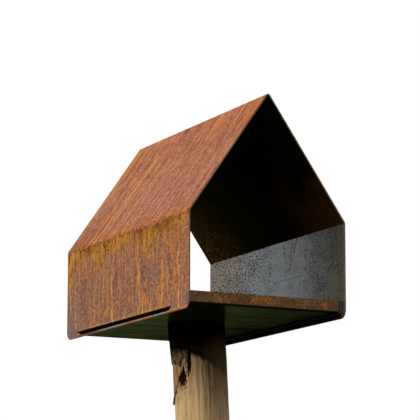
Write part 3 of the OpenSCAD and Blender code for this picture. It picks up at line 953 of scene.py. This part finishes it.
woodLook = {
    # the first and third colours below are painted light: golden wood on the sunny side, paler grey wood
    # round the shaded back
    "sunSideGold": rgb(212, 175, 119), "beige": rgb(222, 185, 137), "shadeSideGrey": rgb(211, 186, 153),
    "pale": rgb(232, 200, 150), "tan": rgb(176, 124, 72), "vein": rgb(112, 76, 44),
    # on the next line the brown stain also carries painted shade, and the last colour, near black, is the
    # painted shadow under the tray
    "grain": rgb(142, 106, 68), "stain": rgb(80, 56, 32), "dark": rgb(30, 20, 12), "paintedShadow": rgb(9, 6, 4),
    # the last colour on the next line is lichen and painted highlight of the sunlit knobs
    "barkGrey": rgb(100, 84, 62), "barkDark": rgb(36, 27, 18), "lichenAndHighlight": rgb(170, 166, 146),
    "redBark": rgb(190, 140, 95), "redDark": rgb(104, 66, 42),
    "specular": 0.06, "rough": 0.85, "outerRough": 0.9, "innerRough": 0.75,
    # painted shadow of the tray: the wood under it is darkened down to a ragged line that falls towards +X,
    # where the tray's shadow ends, and how it darkens there
    "paintedShadowDepth": 62, "paintedShadowFall": 0.5, "paintedShadowRagged": 12, "paintedShadowTint": (0.045, 0.026, 0.012),
    # depths in mm below the top between which each bark layer gets the tray's painted shadow and the lichen
    # with its painted highlights fades in
    "outerSoaked": (55, 37), "innerPaintedShadow": (50, 38), "lichenAndHighlightFrom": (42, 50),
}


def grainPlace():
    # the skin's flat map in metres, the distance across it and the depth below the top in millimetres
    flat = put("UVMap", uv_map="grain").outputs[0]
    axes = put("SeparateXYZ", flat)
    return flat, mul(axes.outputs[0], 1000), sub(postTop, mul(axes.outputs[1], 1000))


def attribute(name):
    return put("Attribute", attribute_name=name).outputs["Fac"]


def raggedDepth(below, cloud, low, high):
    # soft step of the depth below the top, with a wavering line
    return smooth(add(below, spread(cloud, 24)), low, high)


def woodMaterial():
    material, shader = newMaterial("peeledWood", specular=woodLook["specular"])
    flat, across, below = grainPlace()
    # the grain flows round the torn hollow and wanders a little elsewhere
    hollowTurn, hollowDepth, halfWide, halfHigh = postShape["hollow"][:4]
    hollowTurn = math.radians((hollowTurn - postShape["seam"]) % 360)
    sideways = sub(across, hollowTurn * postShape["mapRadius"])
    far = add(calc("POWER", calc("DIVIDE", sideways, halfWide * 2), 2),
              calc("POWER", calc("DIVIDE", sub(below, hollowDepth), halfHigh * 1.6), 2))
    bend = mul(sideways, mul(calc("EXPONENT", mul(far, -1)), -0.55))
    wander = spread(noise(flat, (25, 9, 1)), 9)
    push = put("CombineXYZ", mul(add(bend, wander), 0.001)).outputs[0]
    flow = put("VectorMath", flat, push, operation="ADD").outputs[0]
    lines = noise(flow, (230, 6, 1), 5, 0.7)
    broad = noise(flow, (90, 4, 1), 3, 0.6, (2, 4, 0))
    fibres = noise(flow, (620, 40, 1), 3, 0.7)
    cloud = noise(flat, (45, 22, 1), 3, 0.6, (5, 5, 0))
    veins = noise(flow, (100, 4, 1), 3, 0.5, (9, 1, 0))
    # painted light: the wood is drawn golden on the side that faces -X, where the sun stands, and paler grey
    # round the shaded back
    lengths, facing = position()[1:]
    x, faceX = lengths[0], facing[0]
    colour = laid(woodLook["beige"], woodLook["sunSideGold"], add(faceX, spread(broad, 1.2)), -0.35, -0.85)
    colour = laid(colour, woodLook["shadeSideGrey"], add(faceX, spread(broad, 0.8)), 0, 0.6, 0.6)
    colour = laid(colour, woodLook["tan"], cloud, 0.52, 0.66, 0.4)
    colour = laid(colour, woodLook["grain"], lines, 0.53, 0.63, 0.68)
    colour = laid(colour, woodLook["pale"], lines, 0.47, 0.37, 0.55)
    colour = laid(colour, woodLook["grain"], broad, 0.55, 0.66, 0.5)
    veins = mul(smooth(apart(veins, 0.5), 0.02, 0.004), smooth(cloud, 0.40, 0.58, 0, 0.75))
    colour = mix(veins, colour, woodLook["vein"])
    rim = mul(smooth(far, 1.1, 0.35, 0, 0.6), smooth(lines, 0.4, 0.6))
    colour = mix(rim, colour, woodLook["tan"])
    # the brown stain below the tray, partly real stain and partly painted shade: it reaches further down on
    # the side away from the sun
    shadeSideShift = smooth(faceX, -0.65, -0.1, 0, 24)
    colour = laid(colour, woodLook["stain"], sub(add(below, spread(broad, 60)), shadeSideShift), 130, 30, 0.8)
    colour = mix(spread(fibres, 0.7), colour, woodLook["pale"])
    # painted shadow of the tray: the top is darkened down to where its shadow ends, less on the shaded side
    depth = add(mul(x, woodLook["paintedShadowFall"]), woodLook["paintedShadowDepth"])
    past = sub(below, add(depth, spread(broad, woodLook["paintedShadowRagged"])))
    thin = mul(smooth(faceX, -0.5, 0.4, 0, 0.6), smooth(below, 10, 52))
    paintedTopShadow = mul(smooth(past, 5, -3), sub(1, thin))
    colour = tinted(paintedTopShadow, colour, *woodLook["paintedShadowTint"])
    # painted shade in the cracks and the hollow: darker the deeper they cut
    colour = laid(colour, woodLook["dark"], attribute("cut"), 0.2, 1.4)
    feedAll(shader, {"Base Color": colour, "Specular IOR Level": mul(sub(1, paintedTopShadow), woodLook["specular"]),
                     "Roughness": woodLook["rough"],
                     "Normal": bumped(add(mul(lines, 0.6), mul(fibres, 0.4)), 0.8, 0.001)})
    return material


def outerBarkMaterial():
    material, shader = newMaterial("outerBark", specular=woodLook["specular"])
    flat, across, below = grainPlace()
    rough = noise(flat, (300, 240, 1), 5, 0.75)
    spots = noise(flat, (130, 110, 1), 4, 0.7, (3, 3, 3))
    height = add(attribute("relief"), spread(rough, 3.2))
    colour = laid(woodLook["barkDark"], woodLook["barkGrey"], height, -0.5, 0.6)
    colour = laid(colour, woodLook["dark"], height, -0.2, -0.8, 0.7)
    # painted shadow of the tray: the bark's top drawn near black
    paintedShadow = raggedDepth(below, rough, *woodLook["outerSoaked"])
    colour = mix(mul(paintedShadow, 0.99), colour, woodLook["paintedShadow"])
    # pale spots on the tops of the knobs, below the painted shadow: partly lichen, partly painted highlight
    # where the sun catches them
    spots = mul(smooth(spots, 0.54, 0.62), smooth(height, 0.1, 0.8))
    spots = mul(spots, raggedDepth(below, rough, *woodLook["lichenAndHighlightFrom"]))
    feedAll(shader, {"Base Color": mix(spots, colour, woodLook["lichenAndHighlight"]),
                     "Specular IOR Level": mul(sub(1, paintedShadow), woodLook["specular"]),
                     "Roughness": woodLook["outerRough"], "Normal": bumped(rough, 0.9, 0.002)})
    return material


def innerBarkMaterial():
    material, shader = newMaterial("innerBark", specular=woodLook["specular"])
    flat, across, below = grainPlace()
    lines = noise(flat, (420, 26, 1), 4, 0.65, twist=0.3)
    spots = noise(flat, (120, 60, 1), 3, 0.6, (3, 3, 3))
    colour = laid(woodLook["redDark"], woodLook["redBark"], lines, 0.36, 0.64)
    colour = laid(colour, woodLook["redDark"], spots, 0.55, 0.7, 0.5)
    colour = laid(colour, woodLook["dark"], add(attribute("down"), spread(spots, 0.3)), 0.93, 1, 0.7)
    # painted shadow of the tray: the bark's top drawn near black
    paintedShadow = raggedDepth(below, spots, *woodLook["innerPaintedShadow"])
    colour = mix(mul(paintedShadow, 0.96), colour, woodLook["paintedShadow"])
    feedAll(shader, {"Base Color": colour, "Roughness": woodLook["innerRough"],
                     "Normal": bumped(lines, 0.8, 0.0012)})
    return material


buildPost(woodMaterial())
buildBark("inner_bark_skin", "inner_bark", "inner", innerBarkMaterial())
buildBark("outer_bark_crust", "outer_bark", "outer", outerBarkMaterial())
print("post and bark built")
